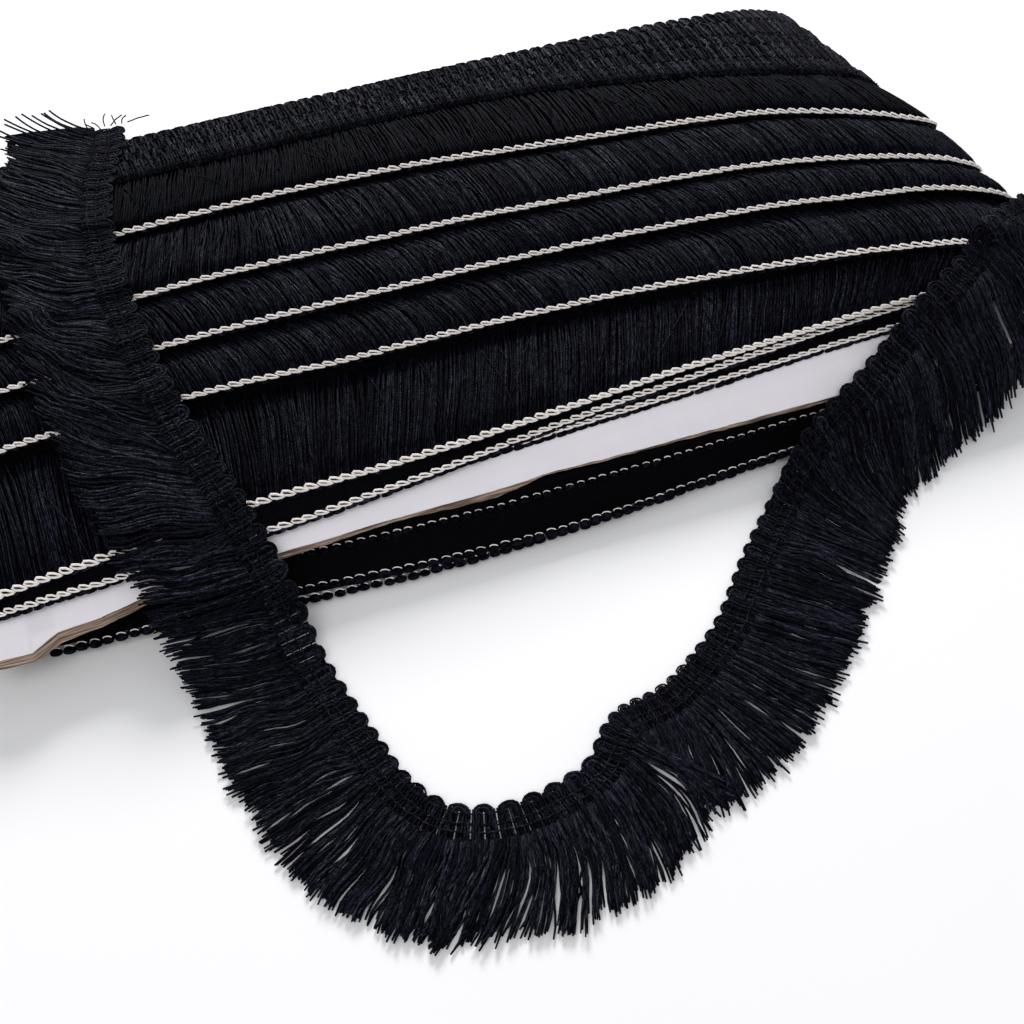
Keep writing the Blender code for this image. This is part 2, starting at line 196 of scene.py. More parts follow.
# x and y of the domed edge from the winding's corner, round the loop and back to the cut end
TAIL_ROUTE = (
    (171, -59), (150, -71), (125, -83), (99, -97), (70, -111), (42, -134), (21, -155), (8, -164),
    (-6, -171), (-20, -173), (-28, -178), (-35, -185), (-45, -188), (-57, -189), (-67, -187),
    (-75, -182), (-81, -171), (-84, -158), (-87, -143), (-90, -126), (-92, -109), (-96, -88),
    (-101, -66), (-106, -43), (-109, -18), (-110, 10), (-108, 38), (-103, 62), (-95, 84), (-92, 99),
)
# along the lying tail: mm from its first lying point, lean of the fringe in degrees to the cut end
SWEEP = (
    (-40, 12), (20, 28), (62, 30), (76, 37), (100, 21), (115, 27), (147, 3), (175, 3), (192, -6),
    (208, 2), (222, 12), (235, 20), (250, 15), (265, 17), (280, 20), (300, -6), (318, -2), (335, 12),
    (395, 19), (430, 47), (460, 50), (495, 35), (570, 30),
)
# along the lying tail: where its strands have parted, and how far their tips stand off to each side
PARTINGS = ((30, 1.0), (68, 1.6), (207, 1.2), (226, 2.2), (238, 1.4), (247, 1.2), (283, 1.2))
# along the lying tail: the loop's middle; leaning strands outside the loop are longer
LOOP_MIDDLE = 260.0
# along the lying tail: how far apart its domes are
GATHER = (
    (-40, 6.5), (0, 7.5), (60, 7.5), (110, 7.0), (195, 5.5), (215, 4.2), (228, 4.2), (240, 5.6),
    (275, 6.4), (310, 5.2), (350, 7.0), (385, 6.6), (410, 5.8), (570, 5.5),
)
# along the lying tail: how much its strands wave together
WAVES = ((-40, 0.08), (240, 0.1), (300, 0.2), (340, 0.36), (570, 0.36))

# ---- the card's front edge: x, its y, how far its brown layers stand out below, their depth ----
CARD_EDGE = (
    (-180, -103, 1.6, 2.8), (-168, -104, 1.6, 2.8), (-160, -99.5, 2.2, 3.2), (-148, -99, 1.8, 2.8),
    (-135, -96.5, 1.5, 2.5), (-90, -95.5, 1.0, 2.2), (-60, -96, 0.4, 1.5), (-26, -97, 1.3, 2.2),
    (-10, -96.5, 0.2, 1.1), (25, -98.5, 0.2, 1.2), (90, -101, 0.5, 1.6), (180, -102, 0.8, 2.0),
)


# ---- small maths ----

def unit(vectors):
    """Vectors of length one."""
    return vectors / np.maximum(np.linalg.norm(vectors, axis=-1, keepdims=True), 1e-9)


def smoothstep(value):
    """0 to 1 with flat ends."""
    clamped = np.clip(value, 0.0, 1.0)
    return clamped * clamped * (3.0 - 2.0 * clamped)


def noise(place, scale, seed):
    """Smooth random values from -1 to 1 along a line, changing over that many millimetres."""
    draws = seeded(seed).uniform(-1.0, 1.0, 2048)
    cell = np.asarray(place, float) / scale + 900.0
    low = np.floor(cell).astype(int)
    part = smoothstep(cell - low)
    return draws[low % 2048] * (1.0 - part) + draws[(low + 1) % 2048] * part


def table_at(table, place):
    """The second column of a table at a place in its first."""
    columns = np.array(table, float)
    return np.interp(place, columns[:, 0], columns[:, 1])


def spline(points, steps):
    """Points on a smooth curve through the given ones."""
    points = np.asarray(points, float)
    padded = np.vstack([points[:1] * 2 - points[1:2], points, points[-1:] * 2 - points[-2:-1]])
    before, start, end, after = (padded[k:len(padded) - 3 + k, None] for k in range(4))
    t = (np.arange(steps) / steps)[:, None]
    curve = 0.5 * (2 * start + (end - before) * t + (2 * before - 5 * start + 4 * end - after) * t ** 2
                   + (3 * start - before - 3 * end + after) * t ** 3)
    return np.vstack([curve.reshape(-1, 3), points[-1:]])


def smooth_table(places, values):
    """A table of two columns, rounded off between its places."""
    return spline([(place, value, 0.0) for place, value in zip(places, values)], 8)


def resample(curve, step):
    """The same curve with points evenly apart, and how far each is along it."""
    lengths = np.concatenate([[0.0], np.cumsum(np.linalg.norm(np.diff(curve, axis=0), axis=1))])
    places = np.linspace(0.0, lengths[-1], max(2, round(lengths[-1] / step)) + 1)
    return np.stack([np.interp(places, lengths, curve[:, k]) for k in range(3)], 1), places


def read_grid(grid, cell_a, cell_b, ring=False):
    """Values between a grid's points. Past its second side they carry on in a straight line."""
    count_a, count_b = grid.shape[:2]
    cell_a = np.mod(cell_a, count_a) if ring else np.clip(cell_a, 0.0, count_a - 1.001)
    low_a = np.floor(cell_a).astype(int) % count_a
    high_a = (low_a + 1) % count_a
    low_b = np.clip(np.floor(cell_b), 0, count_b - 2).astype(int)
    part_a, part_b = cell_a - np.floor(cell_a), cell_b - low_b
    if grid.ndim == 3:
        part_a, part_b = part_a[..., None], part_b[..., None]
    near = grid[low_a, low_b] * (1 - part_a) + grid[high_a, low_b] * part_a
    far = grid[low_a, low_b + 1] * (1 - part_a) + grid[high_a, low_b + 1] * part_a
    return near * (1 - part_b) + far * part_b


class Patch:
    """A curved sheet of points that can be asked for a place along it, across it and above it."""

    def __init__(self, points, a_step, b_step, a_start=0.0, b_start=0.0, ring=False, flip=1.0):
        self.points, self.ring = points, ring
        self.a_step, self.b_step = a_step, b_step
        self.a_start, self.b_start = a_start, b_start
        if ring:
            along = (np.roll(points, -1, 0) - np.roll(points, 1, 0)) / 2
        else:
            along = np.gradient(points, axis=0)
        self.normals = unit(np.cross(along, np.gradient(points, axis=1))) * flip
        self.stretch = np.linalg.norm(along, axis=-1) / a_step

    def read(self, grid, a, b):
        """One of the sheet's own grids at a along and b across."""
        a, b = np.broadcast_arrays(a, b)
        return read_grid(grid, (a - self.a_start) / self.a_step, (b - self.b_start) / self.b_step, self.ring)

    def up(self, a, b):
        """Directions away from the sheet."""
        return unit(self.read(self.normals, a, b))

    def at(self, a, b, height):
        """Points at a along, b across and a height above the sheet."""
        a, b, height = np.broadcast_arrays(a, b, height)
        return self.read(self.points, a, b) + self.up(a, b) * height[..., None]

    def yarns(self, a, b, height, radius, sides, draw=None, loop=False):
        """Tubes along paths over the sheet, each with a random shade."""
        paths = self.at(a, b, height)
        shade = (draw or seeded(len(paths))).uniform(0, 1, len(paths))
        return tube_part(paths, radius, self.up(a, b), sides, shade, loop)


# ---- meshes: a part holds points, blocks of faces, their UVs and a shade for each point ----

def ring_faces(index, loop):
    """Quads round tubes numbered tube by ring by side, and end caps where the rings don't close."""
    rows = index.shape[1] if loop else index.shape[1] - 1
    near, far = index[:, :rows], np.roll(index, -1, 1)[:, :rows]
    quads = np.stack([near, far, np.roll(far, -1, 2), np.roll(near, -1, 2)], -1).reshape(-1, 4)
    return [quads] if loop else [quads, index[:, 0], index[:, -1, ::-1]]


def ring_part(points, loop=False, shade=0.5):
    """Closed bodies through rings of points, an array of bodies by rings by sides by 3."""
    faces = ring_faces(np.arange(points.size // 3).reshape(points.shape[:3]), loop)
    flat = points.reshape(-1, 3)
    return dict(points=flat, faces=faces, uvs=[flat[block][:, :, :2] for block in faces],
                shade=np.full(len(flat), shade))


def tube_part(paths, radius, up, sides, shade, loop=False):
    """Closed tubes along paths, an array of tubes by points by 3, with a shade for each.

    The UVs are the share round a tube and the millimetres along it.
    """
    count, steps = paths.shape[:2]
    radius = np.broadcast_to(radius, (count, steps))
    if loop:
        along = np.roll(paths, -1, 1) - np.roll(paths, 1, 1)
        spans = np.roll(paths, -1, 1) - paths
    else:
        spans = np.diff(paths, axis=1)
        along = np.concatenate([spans[:, :1], paths[:, 2:] - paths[:, :-2], spans[:, -1:]], 1)
    along = unit(along)
    rows = spans.shape[1]
    travelled = np.concatenate([np.zeros((count, 1)), np.cumsum(np.linalg.norm(spans, axis=2), 1)], 1)
    side = unit(np.cross(along, np.broadcast_to(up, paths.shape)))
    lift = np.cross(side, along)
    angles = 2 * pi * (np.arange(sides) + 0.5) / sides
    ring = np.cos(angles)[:, None] * side[:, :, None] + np.sin(angles)[:, None] * lift[:, :, None]
    points = (paths[:, :, None] + radius[:, :, None, None] * ring).reshape(-1, 3)
    faces = ring_faces(np.arange(count * steps * sides).reshape(count, steps, sides), loop)
    u, v, v_far = np.broadcast_arrays(np.arange(sides) / sides, travelled[:, :rows, None],
                                      travelled[:, 1:rows + 1, None])
    uv = np.stack([u, v, u, v_far, u + 1 / sides, v_far, u + 1 / sides, v], -1).reshape(-1, 4, 2)
    uvs = [uv] + [np.zeros(cap.shape + (2,)) for cap in faces[1:]]
    return dict(points=points, faces=faces, uvs=uvs, shade=np.repeat(shade, steps * sides))


def build_piece(name, parts, look, smooth=True):
    """One mesh from parts, on the root body. look: a material and its slot; the slot is not used."""
    surface, slot = look
    points = np.concatenate([part["points"] for part in parts]) * MM
    offsets = np.cumsum([0] + [len(part["points"]) for part in parts])
    faces = [block + offset for part, offset in zip(parts, offsets) for block in part["faces"]]
    uvs = np.concatenate([block.reshape(-1) for part in parts for block in part["uvs"]])
    shades = np.concatenate([part["shade"] for part in parts])
    sizes = np.concatenate([np.full(len(block), block.shape[1]) for block in faces])
    corners = np.concatenate([block.reshape(-1) for block in faces])
    mesh = bpy.data.meshes.new(name)
    mesh.vertices.add(len(points))
    mesh.vertices.foreach_set("co", points.astype(np.float32).reshape(-1))
    mesh.loops.add(len(corners))
    mesh.loops.foreach_set("vertex_index", corners.astype(np.int32))
    mesh.polygons.add(len(sizes))
    mesh.polygons.foreach_set("loop_start", (np.cumsum(sizes) - sizes).astype(np.int32))
    mesh.uv_layers.new(name="yarn").data.foreach_set("uv", uvs.astype(np.float32))
    mesh.attributes.new("shade", "FLOAT", "POINT").data.foreach_set("value", shades.astype(np.float32))
    mesh.update(calc_edges=True)
    if smooth:
        mesh.shade_smooth()
    mesh.materials.append(surface)
    piece = bpy.data.objects.new(name, mesh)
    bpy.context.scene.collection.objects.link(piece)
    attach(piece, "root")
    return piece


# ---- materials ----

class Graph:
    """A node material while it is built. A node's inputs take sockets or plain values."""

    def __init__(self, name):
        self.made = bpy.data.materials.new(name)
        self.made.use_nodes = True
        self.tree = self.made.node_tree

    def fill(self, node, inputs):
        """Link or set a node's inputs, named or numbered."""
        for key, value in inputs.items():
            if isinstance(value, bpy.types.NodeSocket):
                self.tree.links.new(value, node.inputs[key])
            else:
                node.inputs[key].default_value = value

    def add(self, kind, output, inputs, **settings):
        """An output of a new node."""
        node = self.tree.nodes.new("ShaderNode" + kind)
        for key, value in settings.items():
            setattr(node, key, value)
        self.fill(node, inputs)
        return node.outputs[output]

    def math(self, kind, *values):
        """The result of a Math node."""
        return self.add("Math", 0, dict(enumerate(values)), operation=kind)

    def noise(self, place, scale, detail=2.0, roughness=0.5):
        """A noise texture's value."""
        return self.add("TexNoise", "Fac", {"Vector": place, "Scale": scale, "Detail": detail,
                                            "Roughness": roughness})

    def ramp(self, value, stops):
        """A colour ramp's colour. stops: places and colours."""
        colour = self.add("ValToRGB", "Color", {"Fac": value})
        elements = colour.node.color_ramp.elements
        while len(elements) < len(stops):
            elements.new(0.5)
        for element, (place, shade) in zip(elements, stops):
            element.position = place
            element.color = (*shade, 1.0)
        return colour

    def relief(self, height, strength, distance):
        """A normal from a height."""
        return self.add("Bump", "Normal", {"Height": height, "Strength": strength, "Distance": distance})

    def finish(self, inputs):
        """The material, with these inputs on its shader."""
        self.fill(self.tree.nodes["Principled BSDF"], inputs)
        return self.made


def yarn_material(name, dark, light, roughness, twist, bump, sheen, specular, streak):
    """Plied yarn: uneven streaks along the strand, with painted highlights on the tops of its plies and
    painted shade where they turn under.

    twist: turns a millimetre. streak: how much of the pattern is streaks, the rest being the plies. dark,
    light: the colour's two ends, the dark end carrying the painted shade and the light end the painted
    highlights.
    """
    graph = Graph(name)
    add, multiply = partial(graph.math, "ADD"), partial(graph.math, "MULTIPLY")
    around = graph.add("SeparateXYZ", "X", {"Vector": graph.add("UVMap", "UV", {}, uv_map="yarn")})
    along = around.node.outputs["Y"]
    own = graph.add("Attribute", "Fac", {}, attribute_name="shade")
    drift = graph.noise(graph.add("TexCoord", "Object", {}), 70.0, 3.0)
    drawn_out = graph.add("CombineXYZ", "Vector", {"X": multiply(around, 7.0), "Y": multiply(along, 0.5),
                                                   "Z": multiply(own, 90.0)})
    streaks = graph.noise(drawn_out, 1.0, 3.0, 0.7)
    turns = add(multiply(around, 2 * pi * PLIES), multiply(along, 2 * pi * twist))
    phase = add(turns, add(multiply(own, 40.0), multiply(streaks, 7.0)))
    # ply: 1 on a ply's top, 0 where it turns under; in the colour this paints highlight and shade
    ply = graph.math("MULTIPLY_ADD", graph.math("SINE", phase), 0.5, 0.5)
    flecks = graph.add("MapRange", "Result", {"Value": streaks, "From Min": 0.42, "From Max": 0.7})
    turned = graph.math("MULTIPLY_ADD", graph.math("POWER", ply, 1.5), 1.0 - streak, streak)
    strand = graph.math("MULTIPLY_ADD", graph.math("POWER", own, 1.6), 1.1, 0.25)
    # the colour: random streaks and tones, times the plies' painted highlight and painted shade
    tone_and_painted_light = multiply(multiply(flecks, turned), multiply(strand, add(drift, 0.5)))
    height = add(multiply(ply, 1.0 - 0.6 * streak), multiply(streaks, 1.1))
    rough, glint = (graph.add("MapRange", "Result", {"Value": tone_and_painted_light, "To Min": low, "To Max": high})
                    for low, high in ((roughness + 0.12, roughness - 0.08), (0.2 * specular, specular)))
    return graph.finish({
        "Base Color": graph.ramp(tone_and_painted_light, ((0.0, dark), (1.0, light))), "Roughness": rough,
        "Specular IOR Level": glint, "Specular Tint": (0.78, 0.84, 1.0, 1.0), "Sheen Weight": sheen,
        "Sheen Roughness": 0.5, "Sheen Tint": (0.65, 0.75, 1.0, 1.0),
        "Normal": graph.relief(height, bump, 0.0002)})


def mottled_material(name, stops, scale, roughness, detail=2.0, specular=0.5, bump=0.0):
    """Colours that change with a noise in the object. scale: one number, or one for each axis."""
    graph = Graph(name)
    place = graph.add("TexCoord", "Object", {})
    if isinstance(scale, tuple):
        place = graph.add("Mapping", "Vector", {"Vector": place, "Scale": scale})
        scale = 1.0
    tone = graph.noise(place, scale, detail)
    inputs = {"Base Color": graph.ramp(tone, stops), "Roughness": roughness, "Specular IOR Level": specular}
    if bump:
        inputs["Normal"] = graph.relief(tone, bump, 0.0004)
    return graph.finish(inputs)


# ---- each material with its slot ----
BLACK = (yarn_material("black_yarn_plied", dark=(0.0003, 0.0003, 0.0009), light=(0.038, 0.04, 0.068),
                       roughness=0.58, twist=0.8, bump=0.9, sheen=0.002, specular=0.14, streak=0.6),
         "black_yarn")
CORD = (yarn_material("black_yarn_cord", dark=(0.0004, 0.0004, 0.001), light=(0.038, 0.04, 0.066),
                      roughness=0.58, twist=0.7, bump=0.9, sheen=0.003, specular=0.18, streak=0.4),
        "black_yarn")
# packed yarn, coloured darker than the strands' yarn: painted shade for the depths between and under them
PACKED_WITH_PAINTED_SHADE = (mottled_material("black_yarn_packed_painted_shade",
                           ((0.35, (0.0003, 0.0003, 0.0008)), (0.8, (0.002, 0.002, 0.0036))),
                           scale=1400.0, roughness=0.9, specular=0.06, bump=0.6),
          "black_yarn")
IVORY = (yarn_material("ivory_thread_plied", dark=(0.9, 0.83, 0.78), light=(1.0, 0.99, 0.97),
                       roughness=0.6, twist=0.6, bump=0.5, sheen=0.1, specular=0.4, streak=0.3),
         "ivory_thread")
FACE = (mottled_material("card_face", ((0.3, (0.86, 0.83, 0.87)), (0.75, (0.91, 0.88, 0.92))),
                         scale=45.0, roughness=0.6, detail=5.0),
        "card_board")
EDGE = (mottled_material("card_edge",
                         ((0.38, (0.08, 0.05, 0.035)), (0.5, (0.25, 0.17, 0.125)), (0.62, (0.5, 0.38, 0.3))),
                         scale=(60.0, 60.0, 4600.0), roughness=0.9, detail=4.0, bump=0.8),
        "card_board")


# ---- the winding ----

def end_shape(angle):
    """Shares of the reach and of the height at an angle round the winding's end."""
    return (np.clip(np.cos(angle), 0.0, 1.0) ** END_FULLNESS,
            np.sign(angle) * np.abs(np.sin(angle)) ** END_FULLNESS)


def round_off(share):
    """The same shape read across: 1 where the share is 0, falling to 0 where it is 1."""
    return np.sqrt(1.0 - np.clip(share, 0.0, 1.0) ** (2.0 / END_FULLNESS)) ** END_FULLNESS


def end_arc():
    """Angles round an end and how far each is along it."""
    angles = np.radians(np.linspace(90.0, -90.0, 91))
    out, lift = end_shape(angles)
    rise = np.where(lift > 0, END_RISE, END_MIDDLE_Z) * lift
    lengths = np.hypot(np.diff(out * END_ROUNDING), np.diff(rise))
    return angles, np.concatenate([[0.0], np.cumsum(lengths)])


END_ANGLES, END_LENGTHS = end_arc()
END_LENGTH = END_LENGTHS[-1]
SIDE_LENGTH = 2 * END_START_X
RING_CORNERS = np.cumsum([0.0, SIDE_LENGTH, END_LENGTH, SIDE_LENGTH, END_LENGTH])
RING_LENGTH = RING_CORNERS[-1]
LINKS = round(RING_LENGTH / LINK_PITCH)
RING_PLACES = np.linspace(0.0, RING_LENGTH, round(RING_LENGTH / 3.0), endpoint=False)
DROP_LINES = {name: smooth_table(STATIONS, values) for name, values in DROPS.items()}
UNDER_LINES = {name: smooth_table(STATIONS, values) for name, values in UNDERS.items()}


def ring_shape():
    """For RING_PLACES: x without the ends' swelling, its share, and the height's share, -1 to 1."""
    places = np.concatenate([SIDE_LENGTH + END_LENGTHS, RING_LENGTH - END_LENGTHS[::-1]])
    angles = np.concatenate([END_ANGLES, END_ANGLES[::-1]])
    out, lift = end_shape(np.interp(RING_PLACES, places, angles))
    x = END_START_X * np.interp(RING_PLACES, RING_CORNERS, (-1, 1, 1, -1, -1))
    return x[:, None], (np.sign(x) * out)[:, None], lift[:, None]


RING_X, RING_SWELL, RING_LIFT = ring_shape()


def drops(names, x):
    """How far each line has moved to the front. names: two tables and the second's share for each."""
    return np.stack([table_at(DROP_LINES[near], x[:, k]) * (1.0 - share)
                     + table_at(DROP_LINES[far], x[:, k]) * share
                     for k, (near, far, share) in enumerate(names)], 1)


def wound_points(top, insets, under_z, names, under):
    """Points at RING_PLACES round the card for each line of the winding.

    top: y and z of each line over the card. insets: how much shorter than the longest turn it is.
    names: the tables that it follows, as in drops. under_z, under: its z and y below the card,
    where under may name a table.
    """
    top_y, top_z = np.array(top, float).T[:2]
    x = RING_X + RING_SWELL * (END_ROUNDING - np.array(insets))
    low_y = [table_at(UNDER_LINES[line], x[:, k]) if isinstance(line, str) else np.full(len(x), line)
             for k, line in enumerate(under)]
    above = (1.0 + RING_LIFT) / 2
    y = (top_y - drops(names, x)) * above + np.stack(low_y, 1) * (1.0 - above)
    depth = np.where(RING_LIFT > 0, top_z - END_MIDDLE_Z, END_MIDDLE_Z - np.array(under_z))
    return np.stack([x, y, END_MIDDLE_Z + RING_LIFT * depth], -1)


def ring_patch(top, front, back, under, flip=1.0):
    """A patch round the card and its width. top: y and z from the front line to the back line."""
    profile, places = resample(spline([(y, z, 0.0) for y, z in top], 6), 1.0)
    share = places / places[-1]
    names = [(front[0], back[0], part) for part in share]
    insets, under_z, under_y = (first + (last - first) * share for first, last in
                                ((front[1], back[1]), (front[2], back[2]), under))
    points = wound_points(profile, insets, under_z, names, under_y)
    return Patch(points, RING_PLACES[1], places[1], ring=True, flip=flip), places[-1]


def ring_starts(draw):
    """Places of strands round the ring, closer together over the card than below it."""
    over = SIDE_LENGTH + END_LENGTH / 2
    start = np.concatenate([np.arange(-END_LENGTH / 2, over, STRAND_PITCH),
                            np.arange(over, RING_LENGTH - END_LENGTH / 2, HIDDEN_STRAND_PITCH)])
    return start + draw.uniform(-0.3, 0.3, len(start)) * STRAND_PITCH


def row_strands(row, patch, width, seed):
    """The fringe of one turn: fine strands from under the next turn to the held edge."""
    draw = seeded(seed)
    start = ring_starts(draw)
    count, steps = len(start), 7
    share = np.linspace(0.0, 1.0, steps)[None, :]
    arch = np.sin(pi * share)
    b = 0.2 + (width - 0.2) * share
    lean = table_at(LEANS[row], start - END_START_X) + 0.05 * noise(start, 24.0, seed + 8) \
        + 0.025 * noise(start, 5.5, seed + 9) + draw.normal(0, 0.014, count)
    slow, locks, fine, raised = (noise(start, scale, seed + number)[:, None] for number, scale in
                                 ((1, 23.0), (2, 6.0), (3, 1.9), (5, 3.0)))
    sway = (0.03 + 0.04 * slow) * arch + 0.022 * locks * np.sin(1.7 * pi * share) \
        + 0.018 * fine * np.sin(2.6 * pi * share) + 0.012 * draw.normal(0, 1, (count, 1)) * arch \
        + 0.008 * draw.normal(0, 1, (count, steps))
    a = start[:, None] + lean[:, None] * b + min(width, SWAY_REACH) * sway
    height = 0.1 + 0.6 * draw.uniform(0, 1, (count, 1)) + 0.2 * arch \
        + 0.22 * raised * np.sin(1.4 * pi * share) + 0.05 * draw.normal(0, 1, (count, steps))
    radius = STRAND_RADIUS * draw.uniform(0.8, 1.15, (count, 1))
    parts = [patch.yarns(a, b, height, radius, 3, draw)]
    # a thinner layer under them, over the card and round both ends
    low = start[start < SIDE_LENGTH + END_LENGTH / 2][::2, None]
    share = np.linspace(0, 1, 5)[None, :]
    b = 0.3 + (width - 0.5) * share
    a = low + table_at(LEANS[row], low - END_START_X) * b + 0.6 * np.sin(pi * share)
    parts.append(patch.yarns(a, b, -0.25, 0.45, 3))
    # stray strands that cross the others on top
    start = draw.uniform(0, SIDE_LENGTH, STRAY_STRANDS)[:, None]
    one_each = (STRAY_STRANDS, 1)
    first = draw.uniform(0.03, 0.4, one_each) * width
    share = np.linspace(0, 1, 10)[None, :]
    b = first + (width - first) * share * draw.uniform(0.5, 0.9, one_each)
    slant = table_at(LEANS[row], start - END_START_X) + draw.normal(0, 0.25, one_each)
    a = start + slant * (b - first) + np.sin(share * pi * draw.uniform(0.6, 1.6, one_each))
    parts.append(patch.yarns(a, b, 0.75 + 0.4 * np.sin(pi * share), 0.22, 3))
    return parts


def chain_links(patch, scale, seed):
    """Thread chain along a row's held edge: slanting drops, each coming out of the one before."""
    draw = seeded(seed)
    middle = (np.arange(LINKS) + draw.uniform(-0.06, 0.06, LINKS) + 0.5) * RING_LENGTH / LINKS
    turn = 2 * pi * np.arange(8)[None, :] / 8
    along = LINK_HALF_LENGTH * np.cos(turn) * draw.uniform(0.93, 1.07, (LINKS, 1))
    open_end = 0.5 - 0.5 * np.cos(turn)
    width = (0.26 + 0.5 * open_end) * scale * draw.uniform(0.85, 1.15, (LINKS, 1))
    across = width * np.sin(turn) - 0.26 * along * scale
    b = 1.2 + across + draw.normal(0, 0.06, (LINKS, 1)) + 0.2 * noise(middle, 30.0, seed + 4)[:, None]
    height = 0.95 + 0.38 * np.cos(turn) + 0.1 * np.sin(turn)
    return patch.yarns(middle[:, None] + along, b, height, (0.33 + 0.07 * open_end) * scale, 5, draw,
                       loop=True)


def chain_nubs(patch, size, seed):
    """Black knots in front of the chain, one to a link."""
    draw = seeded(seed)
    middle = (np.arange(LINKS) + draw.uniform(-0.1, 0.1, LINKS))[:, None] * RING_LENGTH / LINKS
    share = np.array([-1.0, -0.45, 0.45, 1.0])[None, :]
    b = 0.12 * share + draw.normal(0, 0.08, (LINKS, 1))
    radius = 0.6 * size * np.array([0.62, 1.0, 1.0, 0.62])[None, :] * draw.uniform(0.85, 1.1, (LINKS, 1))
    return patch.yarns(middle + share * size * 1.25, b, -0.15, radius, 5, draw)


def bead_row(row, seed):
    """Knots along the winding's front below the card, and the thread that crosses each."""
    draw = seeded(seed)
    line = UNDER_LINES[row["line"]]
    x = np.arange(*row["span"], LINK_PITCH)
    count = len(x)
    x = x + draw.uniform(-0.25, 0.25, count)
    size = row["size"] * draw.uniform(0.9, 1.08, (count, 1))
    share = np.array([-1.0, -0.86, -0.5, 0.0, 0.5, 0.86, 1.0])[None, :]
    spot = x[:, None] + 1.85 * share * size
    y = table_at(line, spot) - 0.2 + draw.normal(0, 0.12, (count, 1))
    z = row["z"] + draw.normal(0, 0.1, (count, 1)) + 0.2 * noise(x, 40.0, seed + 1)[:, None]
    z = np.maximum(z, 1.6)
    girth = 1.4 * size * np.array([0.3, 0.6, 0.9, 1.0, 0.9, 0.6, 0.3])[None, :]
    up = np.array([0.0, -0.6, 0.8])
    path = np.stack(np.broadcast_arrays(spot, y, z), -1)
    # the knots take only the darker tones: painted shade under the card's edge
    knots = tube_part(path, girth, up, 6, draw.uniform(0, 0.35, count))
    share = np.linspace(-1.0, 1.0, 7)[None, :]
    spot = x[:, None] + (1.3 * share + 0.1) * size
    lift = (0.75 + 0.85 * np.sqrt(1.0 - (0.9 * share) ** 2)) * size
    y = table_at(line, spot) - 0.35 + 0.5 * lift * (1.0 - 0.4 * share)
    arcs = tube_part(np.stack([spot, y, z + 0.86 * lift], -1), 0.21 * draw.uniform(0.75, 1.15, (count, 1)),
                     up, 4, draw.uniform(0, 1, count))
    return knots, arcs


def dome_arcs(patch, edges, root, turns, leg_steps, sides, seed, rise, round_share=1.0, fullness=1.08,
              unrest=0.11):
    """Nested yarn arcs of a heading, a dome between each pair of edges, their legs running to root."""
    draw = seeded(seed)
    middle, half = (edges[:-1] + edges[1:]) / 2, (edges[1:] - edges[:-1])[:, None] / 2
    leg, held = np.linspace(1.0, 0.0, leg_steps), np.ones(leg_steps)
    bow = np.linspace(0.0, pi, 7)[1:-1]
    offset = np.concatenate([-held, -np.cos(bow), held])
    depth = np.concatenate([leg, 0.0 * bow, leg[::-1]])
    arch = np.concatenate([0.0 * held, np.sin(bow), 0.0 * held])
    parts = []
    for turn in range(turns):
        share = (turn + 0.76) / (turns + 0.46)
        bow_depth = np.minimum(half * share, 2.9 * share + 0.3)
        shoulder = 0.35 + 2.5 * (1.0 - share) + bow_depth
        b = shoulder - arch * bow_depth + depth * (root - shoulder)
        squeeze = 1.0 - 0.1 * np.exp(-((b - FIRST_GROOVE) / 0.8) ** 2) \
            - 0.08 * np.exp(-((b - SECOND_GROOVE) / 0.7) ** 2)
        a = middle[:, None] + offset * half * share * squeeze
        a = a + draw.normal(0, unrest, a.shape)
        swell = 0.75 * np.sin(np.clip((b - 0.2) / 6.4, 0, 1) * pi) \
            + 0.7 * np.sin(np.clip((b - FIRST_GROOVE) / (SECOND_GROOVE - FIRST_GROOVE), 0, 1) * pi)
        height = 0.75 + rise * np.exp(-(b / 3.2) ** 2) + swell * round_share \
            + 0.28 * (turn % 2) - 0.2 * (1 - share) + draw.normal(0, 0.08, a.shape)
        radius = np.maximum(fullness * np.minimum(half / (2 * turns), 0.52), 0.3)
        parts.append(patch.yarns(a, b, height, radius, sides, draw))
    return parts


def packed_blocks(patch, starts, ends, across, levels):
    """Packed yarn as closed blocks on a patch, from each start along it to each end."""
    b = np.linspace(*across, 4)[None, :, None]
    corners = np.stack([starts, ends, ends, starts], 1)[:, None, :]
    low, high = levels
    return ring_part(patch.at(corners, b, np.array([low, low, high, high])), shade=0.2)


def weft_row(patch, edges, b_place, height, radius, seed, bobs=3):
    """A yarn across the legs of the domes, over one and under the next."""
    draw = seeded(seed)
    steps = bobs * 3
    turn = np.arange((len(edges) - 1) * steps + 1) / steps
    a = np.interp(turn, np.arange(len(edges)), edges)[None, :]
    wave = np.cos(2 * pi * turn * bobs)[None, :]
    b = b_place + 0.14 * draw.normal(0, 1, a.shape)
    return patch.yarns(a, b, height + WEFT_BOB * wave, radius * (1.0 + 0.25 * wave), 3, draw)


